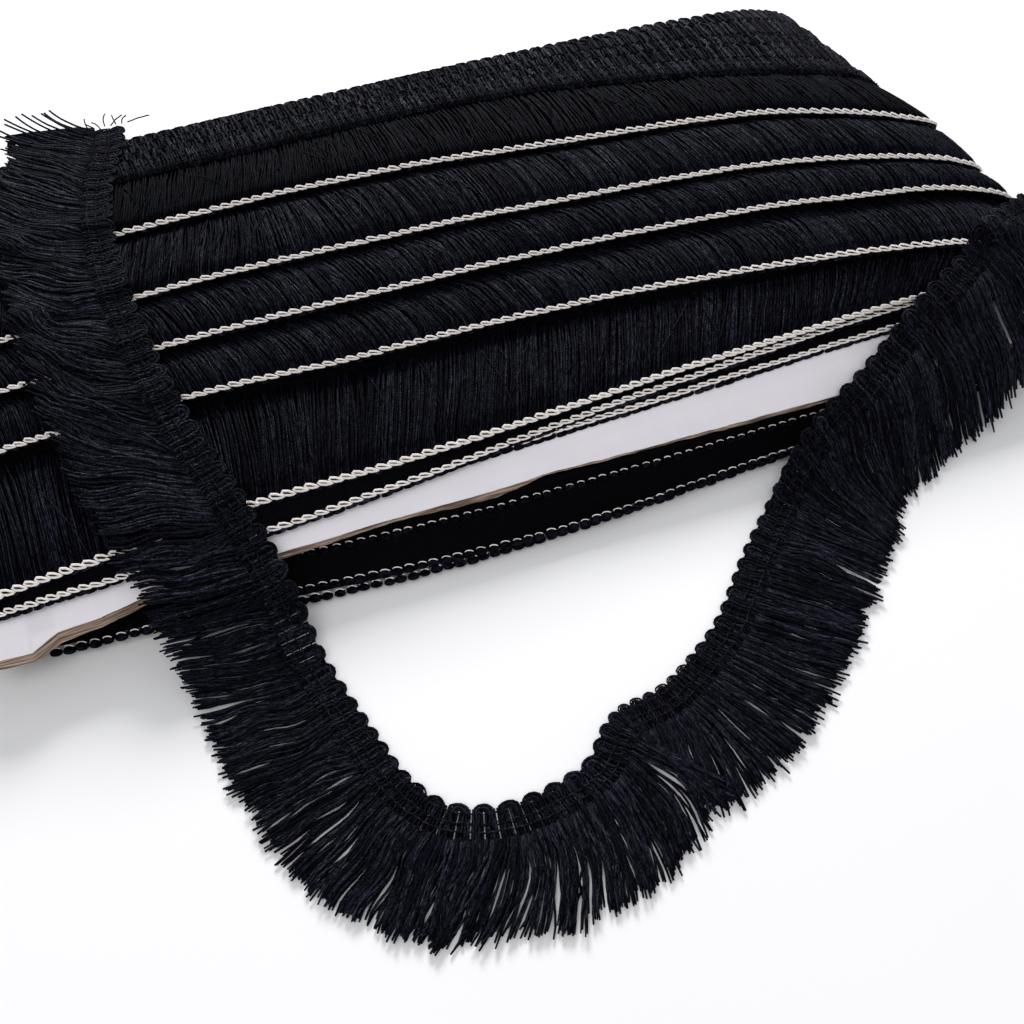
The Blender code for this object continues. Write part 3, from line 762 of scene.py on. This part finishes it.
def build_rows():
    """Every turn that shows: its strands, its chain and its knots."""
    pieces = []
    for number, row in enumerate(ROWS):
        name, seed = row["name"], 100 + 20 * number
        patch, width = ring_patch(row["top"], row["front"], row["back"], row["under"])
        strands = row_strands(name, patch, width, seed) if name in LEANS else []
        # the top row's strands are darkened: painted shade, as this row would otherwise show too much light
        if name == "row_1":
            for part in strands:
                part["shade"] = part["shade"] * BACK_ROW_PAINTED_SHADE
        strands.append(chain_nubs(patch, row["knots"], seed + 7))
        scale = FRONT_LINK_SCALE if name == "row_5" else LINK_SCALE
        pieces.append(build_piece(name + "_strands", strands, BLACK))
        pieces.append(build_piece(name + "_chain", [chain_links(patch, scale, seed + 11)], IVORY))
    for number, row in enumerate(BEAD_ROWS):
        knots, arcs = bead_row(row, 300 + 5 * number)
        pieces.append(build_piece(row["name"], [knots], BLACK))
        pieces.append(build_piece(row["name"] + "_thread", [arcs], IVORY))
    return pieces


def build_core():
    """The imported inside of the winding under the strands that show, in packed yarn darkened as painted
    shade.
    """
    # y and z over the card, how much shorter than the longest turn, z and y below, line followed
    lines = (
        (-85.2, 16.7, 13, 11.5, "high_row", "chain_7"), (-87.4, 18.8, 10.8, 8.6, "high_row", "chain_6"),
        (-84, 20.6, 10.6, 8, "high_row", "chain_6"), (-79, 22.6, 7, 4.6, "low_row", "chain_5"),
        (-62, 25.9, 3.4, 2.9, "floor_row", "chain_5"), (-48, 25.2, 3, 2.9, -92, "chain_4"),
        (-42.8, 23.6, 3, 2.9, -86, "chain_4"), (-41.8, 32, 2.6, 2.9, -80, "chain_4"),
        (-26.6, 31, 4.5, 2.9, -50, "chain_3"), (-20.6, 28.4, 5, 2.9, -40, "chain_3"),
        (-19.4, 35.6, 5, 2.9, -34, "chain_3"), (-3.2, 34.4, 6.6, 2.9, -10, "chain_2"),
        (2.8, 31.6, 7, 2.9, 0, "chain_2"), (4, 38.2, 7, 2.9, 6, "chain_2"),
        (28.6, 36.8, 8, 2.9, 30, "chain_1"), (34.8, 33.8, 8.4, 2.9, 40, "chain_1"),
        (36.2, 40.1, 8.4, 2.9, 44, "chain_1"), (58, 39.6, 16.5, 2.9, 58, "top_heading"),
        (73, 38.4, 18.4, 3, 72, "top_heading"), (79.4, 36.6, 19, 3.2, 79, "second_heading"),
        (86.6, 34.9, 19.2, 3.6, 85, "second_heading"), (94, 32.4, 19.4, 4.6, 91, "third_heading"),
        (100.8, 27.4, 19.4, 7.6, 97, "low_heading"), (103.8, 20.4, 19.4, 11.4, 99.5, "low_heading"),
    )
    top_y, top_z, insets, under_z, under_y, names = zip(*lines)
    outer = wound_points(list(zip(top_y, top_z)), insets, under_z, [(name, name, 0.0) for name in names],
                         under_y)
    outer[:, :5, 1] += 1.0 * (outer[:, :5, 2] < CARD_BOTTOM)
    # the inside of the ring, round the card's ends and faces
    middle, half_height, half_length = (CARD_BOTTOM + CARD_TOP) / 2, 1.8, CARD_LENGTH / 2 + 3.0
    inner = outer[:, [-1, 0]]
    inner[:, :, 0] = np.clip(inner[:, :, 0], -half_length, half_length)
    inner[:, :, 2] = middle + np.sign(inner[:, :, 2] - middle) * half_height
    return build_piece("wound_core", [ring_part(np.concatenate([outer, inner], 1)[None], loop=True)], PACKED_WITH_PAINTED_SHADE)


def build_back_headings():
    """The crocheted headings stacked along the back."""
    pieces, packed = [], []
    for number, band in enumerate(BACK_HEADINGS):
        seed = 400 + 20 * number
        edge, root = np.array(band["edge"]), np.array(band["root"])
        top = [edge, (edge + root) / 2 + (0, 0.4), root]
        patch, width = ring_patch(top, band["front"], band["back"], band["under"], flip=-1.0)
        edges = np.linspace(0, RING_LENGTH, round(RING_LENGTH / band["domes"]) + 1) + 2.0 * number
        turns = 3 if number == 0 else 2
        parts = dome_arcs(patch, edges, width, turns, 3, 3, seed, rise=0.4, round_share=0.7, fullness=1.3,
                          unrest=0.24)
        for k, place in enumerate((3.4, 6.6, 10.6)[:turns]):
            if place < width - 0.6:
                parts.append(weft_row(patch, edges, place, 1.35, 0.3, seed + 5 + k, bobs=2))
        pieces.append(build_piece(band["name"], parts, CORD))
        # packed yarn under each heading, in its painted shade
        joints = np.linspace(0.0, RING_LENGTH, 72)
        packed.append(packed_blocks(patch, joints[:-1], joints[1:], (0.9, width - 1.2), (0.05, 0.85)))
    return pieces + [build_piece("headings_packed", packed, PACKED_WITH_PAINTED_SHADE)]


# ---- the loose tail ----

LIE_CURVE = spline([(y, z, 0.0) for y, z in LIE], 12)
GRID_STEP = 1.5
GRID_X = np.arange(-200.0, 201.0, GRID_STEP)
GRID_Y = np.arange(-95.0, 106.0, 1.0)


def end_reach(z):
    """How far right the winding's end reaches at this height, under the tail's climb."""
    half_height = CLIMB_TOP_Z - END_MIDDLE_Z if z > END_MIDDLE_Z else END_MIDDLE_Z
    return END_START_X + round_off(abs(z - END_MIDDLE_Z) / half_height) * END_ROUNDING


def winding_heights():
    """Heights of the winding's top over a grid of x and y."""
    height = np.full((len(GRID_X), len(GRID_Y)), -1.0)
    for row in ROWS:
        (front, front_inset, _), (back, back_inset, _) = row["front"], row["back"]
        line_y, line_z = np.array(row["top"]).T
        line_z = line_z + CHAIN_RISE * (line_y < line_y[0] + 3.0)
        share = (line_y - line_y[0]) / (line_y[-1] - line_y[0])
        inset = front_inset + (back_inset - front_inset) * share
        for number, x in enumerate(GRID_X):
            drop = table_at(DROP_LINES[front], x) * (1 - share) + table_at(DROP_LINES[back], x) * share
            lift = round_off((abs(x) - END_START_X) / (END_ROUNDING - inset))
            z = np.where(lift > 0.0, END_MIDDLE_Z + (line_z - END_MIDDLE_Z) * lift, -1.0)
            found = np.interp(GRID_Y, line_y - drop, z, left=-1.0, right=-1.0)
            height[number] = np.maximum(height[number], found)
    return height


HEIGHTS = winding_heights()


def winding_top(x, y):
    """Height of the winding's top at x and y."""
    cell_y = np.clip(y - GRID_Y[0], 0, len(GRID_Y) - 1.001)
    return read_grid(HEIGHTS, (x - GRID_X[0]) / GRID_STEP, cell_y)


def lie_height(x, y):
    """Height of the tail's underside where it lies."""
    bend = LIE_BEND * np.clip((x - ROW_BEND_START) / ROW_BEND_REACH, 0.0, None) ** ROW_BEND_POWER
    unbent_y = y + bend * smoothstep((y - LIE_BEND_FROM_Y) / LIE_BEND_OVER)
    height = np.interp(unbent_y, LIE_CURVE[:, 0], LIE_CURVE[:, 1])
    kept = np.maximum(round_off((x - END_START_X) / END_ROUNDING), LEAST_END_LIFT)
    raised = END_MIDDLE_Z + (height - END_MIDDLE_Z) * kept
    lying = np.maximum(np.where(height > END_MIDDLE_Z, raised, height), 0.0)
    return np.maximum(lying, winding_top(x, y) + TAIL_GAP)


def tail_patch():
    """The tail's sheet from its domed edge out to its tips, a millimetre apart both ways.

    Its places along start below zero where the tail climbs the winding's end, and reach zero where
    it begins to lie.
    """
    climb = np.array([(end_reach(z) + CLIMB_GAP, y, z) for z, y, _ in TAIL_CLIMB])
    lying = np.array([(x, y, float(lie_height(x, y))) for x, y in TAIL_ROUTE])
    turns = [turn for _, _, turn in TAIL_CLIMB]
    steps = 12
    curve = spline(np.vstack([climb, lying]), steps)
    past = len(climb) * steps
    curve[past:, 2] = lie_height(curve[past:, 0], curve[past:, 1])
    climb_length = np.linalg.norm(np.diff(np.vstack([climb, lying[:1]]), axis=0), axis=1).sum()
    edge, places = resample(curve, 1.0)
    flat = np.zeros(len(edge))
    along = unit(np.gradient(edge, axis=0))
    out = unit(np.stack([-along[:, 1], along[:, 0], flat], 1))
    share = places / climb_length * len(turns)
    angle = np.radians(np.interp(share, np.arange(len(turns) + 1), turns + [LYING_TURN]))
    climbing = (share < len(turns))[:, None]
    out = np.where(climbing, np.stack([np.sin(angle), -np.cos(angle), flat], 1), out)
    lying_share = smoothstep(1.0 - np.abs(edge[:, 2] - lie_height(edge[:, 0], edge[:, 1])) / 6.0)
    columns = [edge]
    for step in range(TAIL_REACH):
        point = columns[step]
        ahead = point + out
        rise = (lie_height(ahead[:, 0], ahead[:, 1]) - lie_height(point[:, 0], point[:, 1])) * lying_share
        ahead = point + unit(np.stack([out[:, 0], out[:, 1], rise], 1))
        ahead[:, 2] = np.maximum(ahead[:, 2], winding_top(ahead[:, 0], ahead[:, 1]) + TAIL_GAP)
        columns.append(ahead)
    before = [edge + (edge - columns[1]) * k for k in (2, 1)]
    sheet = np.stack(before + columns, 1)
    for _ in range(3):
        sheet[1:-1] = (sheet[:-2] + 2 * sheet[1:-1] + sheet[2:]) / 4
        sheet[:, 1:-1] = (sheet[:, :-2] + 2 * sheet[:, 1:-1] + sheet[:, 2:]) / 4
    sheet[:, :, 2] = np.maximum(sheet[:, :, 2], winding_top(sheet[:, :, 0], sheet[:, :, 1]) + 0.1)
    patch = Patch(sheet, places[1], 1.0, a_start=-climb_length, b_start=-2.0)
    patch.normals = np.where(patch.normals[:, :, 2:] < -0.15, -patch.normals, patch.normals)
    return patch, places[-1] - climb_length, -climb_length


TAIL, TAIL_END, TAIL_START = tail_patch()


def build_tail_heading():
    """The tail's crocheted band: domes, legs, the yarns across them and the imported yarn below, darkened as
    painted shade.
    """
    edges = [TAIL_START + 1.0]
    while edges[-1] < TAIL_END - 4.0:
        edges.append(edges[-1] + float(table_at(GATHER, edges[-1])))
    edges = np.array(edges)
    parts = dome_arcs(TAIL, edges, HEADING_WIDTH + 0.6, 4, 7, 4, 500, rise=0.25)
    heading = build_piece("tail_heading_yarns", parts, CORD)
    # the lining is parted at the domes and at the first groove
    halves = np.sort(np.concatenate([edges, (edges[:-1] + edges[1:]) / 2]))
    gap = 0.045 * np.diff(halves)
    blocks = [packed_blocks(TAIL, halves[:-1] + gap, halves[1:] - gap, across, (0.08, 0.8))
              for across in ((1.7, 6.25), (FIRST_GROOVE, HEADING_WIDTH + 0.5))]
    lining = build_piece("tail_heading_lining", blocks, PACKED_WITH_PAINTED_SHADE)
    # across the band: place, height and radius of each yarn over the legs
    wefts = ((3.5, 1.75, 0.27), (6.3, 1.35, 0.24), (6.9, 1.3, 0.24), (9.2, 1.85, 0.27), (11.4, 1.35, 0.24),
             (12.0, 1.3, 0.24))
    seams = [weft_row(TAIL, edges, *weft, 520 + k) for k, weft in enumerate(wefts)]
    stitches = build_piece("tail_heading_stitches", seams, CORD)
    for piece in (heading, lining, stitches):
        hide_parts("tail_heading")
    return heading, [lining, stitches]


def fringe_roots(rate, draw):
    """Places of the strands along the heading, more where the fringe fans out."""
    places = np.arange(TAIL_START + 1.0, TAIL_END - 1.0, 1.0)
    fan = np.clip(TAIL.read(TAIL.stretch, places, 26.0), 0.9, 2.6)
    opening = np.radians(np.gradient(table_at(SWEEP, places))) * FRINGE_LENGTH
    total = np.concatenate([[0.0], np.cumsum(fan + np.clip(1.4 * opening, 0.0, 1.6))])
    count = int(total[-1] * rate)
    spots = (np.arange(count) + draw.uniform(0.1, 0.9, count)) / count * total[-1]
    return np.interp(spots, total, np.append(places, places[-1] + 1.0))


def part_strands(root, share):
    """How far the strands stand off along the heading, at parted places and in many small gaps."""
    gaps = np.sort(seeded(607).uniform(TAIL_START, TAIL_END, SMALL_GAPS))
    number, last = np.searchsorted(gaps, root), len(gaps) - 1
    after = gaps[np.clip(number, 0, last)] - root
    before = root - gaps[np.clip(number - 1, 0, last)]
    push = np.exp(-np.abs(before) / 1.6) - np.exp(-np.abs(after) / 1.6)
    aside = 0.25 * push[:, None] * share ** 2.2
    for place, width in PARTINGS:
        off = root - place
        aside = aside + (width * np.sign(off) * np.exp(-np.abs(off) / 2.5))[:, None] * share ** 1.6
    return aside


def fringe_paths(rate, seed, level, draw):
    """Strands of one layer of the tail's fringe, as places along, across and above the sheet.

    Each strand is stepped out from the heading. It leans by SWEEP, bends a little with its wave, and
    is drawn towards the middle of its lock.
    """
    root = fringe_roots(rate, draw)
    count, steps = len(root), 10
    span = TAIL_END - TAIL_START
    cuts = np.cumsum(draw.uniform(*LOCK_WIDTHS, int(span)))
    cuts = cuts[cuts < span] + TAIL_START
    lock = np.searchsorted(cuts, root)
    bounds = np.concatenate([[TAIL_START], cuts, [TAIL_END]])
    centre = (bounds[lock] + bounds[lock + 1]) / 2
    lock_lean = draw.normal(0, LOCK_LEAN, len(bounds))[lock]
    lock_length = draw.normal(0, LOCK_LENGTH, len(bounds))[lock]
    pull = draw.uniform(0.0, LOCK_PULL, len(bounds))[lock]
    swept = table_at(SWEEP, root)
    reach = FRINGE_LENGTH + lock_length + draw.normal(0, CUT_SPREAD, count) \
        + 0.8 * noise(root, 18.0, seed + 3)
    sweep = np.radians(swept + lock_lean + draw.normal(0, LEAN_SPREAD, count))
    out_of_loop = smoothstep((np.abs(root - LOOP_MIDDLE) - 70.0) / 40.0)
    reach = reach / np.clip(np.cos(np.radians(swept)), 0.6, 1.0) ** (0.75 * out_of_loop)
    reach = reach * (1.0 + 0.14 * np.exp(-((root - 35.0) / 35.0) ** 2))
    share = np.linspace(0.0, 1.0, steps)
    a = np.zeros((count, steps))
    b = np.zeros((count, steps))
    a[:, 0] = root
    b[:, 0] = FRINGE_ROOT + draw.uniform(-0.4, 0.5, count)
    direction = unit(np.gradient(TAIL.points[:, 2], axis=0))
    facing = np.unwrap(np.arctan2(direction[:, 1], direction[:, 0]))
    places = TAIL_START + np.arange(len(facing)) * TAIL.a_step
    root_facing = np.interp(root, places, facing)
    wave = table_at(WAVES, root)
    bow = draw.normal(0, 0.09, count) + wave * noise(root, 11.0, 603)
    second = wave * noise(root, 8.0, 604)
    for step in range(1, steps):
        here_a, here_b, out = a[:, step - 1], b[:, step - 1], share[step]
        size = reach * (out - share[step - 1])
        turned = np.interp(here_a, places, facing) - root_facing
        lean = sweep * (0.7 + 0.5 * out) - turned * 0.75 \
            + bow * sin(2 * pi * out) + second * sin(3.2 * pi * out)
        stretch = np.maximum(TAIL.read(TAIL.stretch, here_a, here_b), 0.35)
        a[:, step] = here_a + size * np.sin(lean) / stretch
        b[:, step] = here_b + size * np.cos(lean)
    a = a + ((centre - root) * pull)[:, None] * share ** 1.8 + part_strands(root, share)
    height = level + draw.uniform(-0.25, 0.35, count)[:, None] \
        + 0.5 * np.sin(pi * share) * draw.uniform(0, 1, (count, 1)) \
        + 0.4 * noise(root, 7.0, seed + 6)[:, None] * np.sin(pi * share * 0.8)
    return a, b, np.maximum(height, 0.42)


def build_tail_fringe():
    """The tail's two layers of cut strands."""
    pieces = []
    for name, rate, seed, level, sides in (("tail_fringe_lower", 1.8, 600, 0.55, 3),
                                           ("tail_fringe_upper", 1.7, 640, 1.3, 4)):
        draw = seeded(seed)
        a, b, height = fringe_paths(rate, seed, level, draw)
        radius = YARN_RADIUS * seeded(seed + 9).uniform(0.85, 1.1, (len(a), 1)) * np.ones_like(a)
        radius[:, -1] *= 0.75
        piece = build_piece(name, [TAIL.yarns(a, b, height, radius, sides, draw)], BLACK)
        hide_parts("tail_fringe")
        pieces.append(piece)
    return pieces


def end_threads():
    """Root, direction in degrees, length, sideways bow and radius of each thread at the cut end."""
    draw = seeded(661)
    threads = []
    for share in np.linspace(0.0, 1.0, SHORT_THREADS):
        angle = 110.0 - 70.0 * share + draw.uniform(-35.0, 35.0)
        threads.append(((-106.0 + 14.0 * share, 96.5 - 1.0 * share, 41.5), angle, draw.uniform(4.0, 9.0),
                        draw.uniform(-0.6, 0.6), 0.25))
    for share in np.linspace(0.0, 1.0, LONG_THREADS):
        angle = 122.0 + 17.0 * share ** 2 + draw.uniform(-1.5, 1.5)
        length = 19.0 + 12.0 * smoothstep(1.5 * share) + draw.uniform(-1.5, 1.5)
        threads.append(((-106.0 - 9.0 * share, 97.5 - 8.5 * share, 40.6 - 1.2 * share), angle, length,
                        draw.uniform(1.0, 3.0), 0.38))
    return threads


def build_end_threads():
    """Threads that stand loose where the tail was cut."""
    share = np.linspace(0.0, 1.0, 9)
    arch = np.sin(pi * share)
    parts = []
    for number, (root, angle, length, bow, radius) in enumerate(end_threads()):
        ahead = np.array([cos(radians(angle)), sin(radians(angle)), 0.0])
        aside = np.array([-ahead[1], ahead[0], 0.0])
        path = root + length * share[:, None] * ahead + bow * arch[:, None] * aside
        path[:, 2] += 0.5 * arch + 0.15 * noise(share * 9.0, 2.0, 660 + number)
        parts.append(tube_part(path[None], radius, (0.0, 0.0, 1.0), 5, [0.3 + 0.04 * number]))
    piece = build_piece("tail_end_threads", parts, BLACK)
    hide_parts("tail_fringe")
    return piece


# ---- the card ----

def build_card():
    """White-faced board: a face sheet and a brown core in layers with an uneven front edge."""
    x = np.linspace(-CARD_LENGTH / 2, CARD_LENGTH / 2, 361)
    places, *columns = np.array(CARD_EDGE).T
    edge_y, stand_out, depth = (np.interp(x, places, column) for column in columns)
    edge_y = edge_y + 0.2 * noise(x, 17.0, 71) + 0.12 * noise(x, 5.0, 72)
    face_bottom, layers = CARD_TOP - FACE_THICKNESS, 8
    lines = []
    for layer in range(layers):
        share = 1.0 - layer / (layers - 1)
        push = 0.35 * (layer % 2) + 0.3 * noise(x, 9.0, 80 + layer) + 0.16 * noise(x, 2.2, 90 + layer)
        front = edge_y + 0.3 - stand_out * share * (0.75 + 0.25 * share) - push * (0.4 + 0.6 * share)
        level = face_bottom - (depth - FACE_THICKNESS) * share + 0.08 * noise(x, 6.0, 110 + layer)
        lines.append((front, level))
    core_bottom = CARD_BOTTOM + 0.05
    lines += [(CARD_BACK_Y, face_bottom), (CARD_BACK_Y, core_bottom), (lines[0][0] + 3.0, core_bottom)]
    lip = edge_y + 0.1 * noise(x, 5.0, 91) + 0.06 * noise(x, 1.3, 92)
    sheet = [(lip, face_bottom), (lip + 0.1, CARD_TOP), (CARD_BACK_Y, CARD_TOP), (CARD_BACK_Y, face_bottom)]
    for name, outline, look in (("card_core", lines, EDGE), ("card_face", sheet, FACE)):
        rings = np.stack([np.stack(np.broadcast_arrays(x, y, z), 1) for y, z in outline], 1)
        piece = build_piece(name, [ring_part(rings[None])], look, smooth=False)
        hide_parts("card")


# ---- surroundings ----

def add_object(name, data):
    """A new object in the scene."""
    made = bpy.data.objects.new(name, data)
    bpy.context.scene.collection.objects.link(made)
    return made


def build_stage():
    """Pale floor, soft light and the camera, in metres."""
    half, level = 3.0, -0.0003
    mesh = bpy.data.meshes.new("floor")
    corners = [(-half, -half, level), (half, -half, level), (half, half, level), (-half, half, level)]
    mesh.from_pydata(corners, [], [(0, 1, 2, 3)])
    tones = ((0.3, (0.83, 0.825, 0.83)), (0.7, (0.85, 0.845, 0.85)))
    mesh.materials.append(mottled_material("floor_white", tones, scale=3.0, roughness=0.85, specular=0.2))
    add_object("floor", mesh)

    world = bpy.data.worlds.new("studio")
    world.use_nodes = True
    background = world.node_tree.nodes["Background"]
    background.inputs["Color"].default_value = (0.94, 0.96, 1.0, 1.0)
    background.inputs["Strength"].default_value = 0.44
    bpy.context.scene.world = world
    for name, place, size, power in (("light_top", (0.35, 1.35, 0.85), 0.6, 32.0),
                                     ("light_front", (-0.5, -0.9, 1.3), 1.0, 10.0)):
        lamp = bpy.data.lights.new(name, "AREA")
        lamp.energy = power
        lamp.size = size
        light = add_object(name, lamp)
        light.location = place
        light.rotation_mode = "QUATERNION"
        light.rotation_quaternion = (-Vector(place)).to_track_quat("-Z", "Y")

    eye = bpy.data.cameras.new("camera")
    eye.lens = 50.48
    eye.sensor_width = 36.0
    eye.clip_start, eye.clip_end = 0.02, 20.0
    camera = add_object("camera", eye)
    camera.location = (-0.130, -0.365, 0.348)
    camera.rotation_euler = (radians(40.0), 0.0, radians(-22.2))
    bpy.context.scene.camera = camera
    bpy.context.scene.view_settings.view_transform = "Standard"


build_stage()
build_card()
wound_pieces = [build_core()] + build_rows() + build_back_headings()
heading_piece, heading_extras = build_tail_heading()
fringe_pieces = build_tail_fringe() + [build_end_threads()]
for piece in wound_pieces:
    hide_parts("wound_trim")
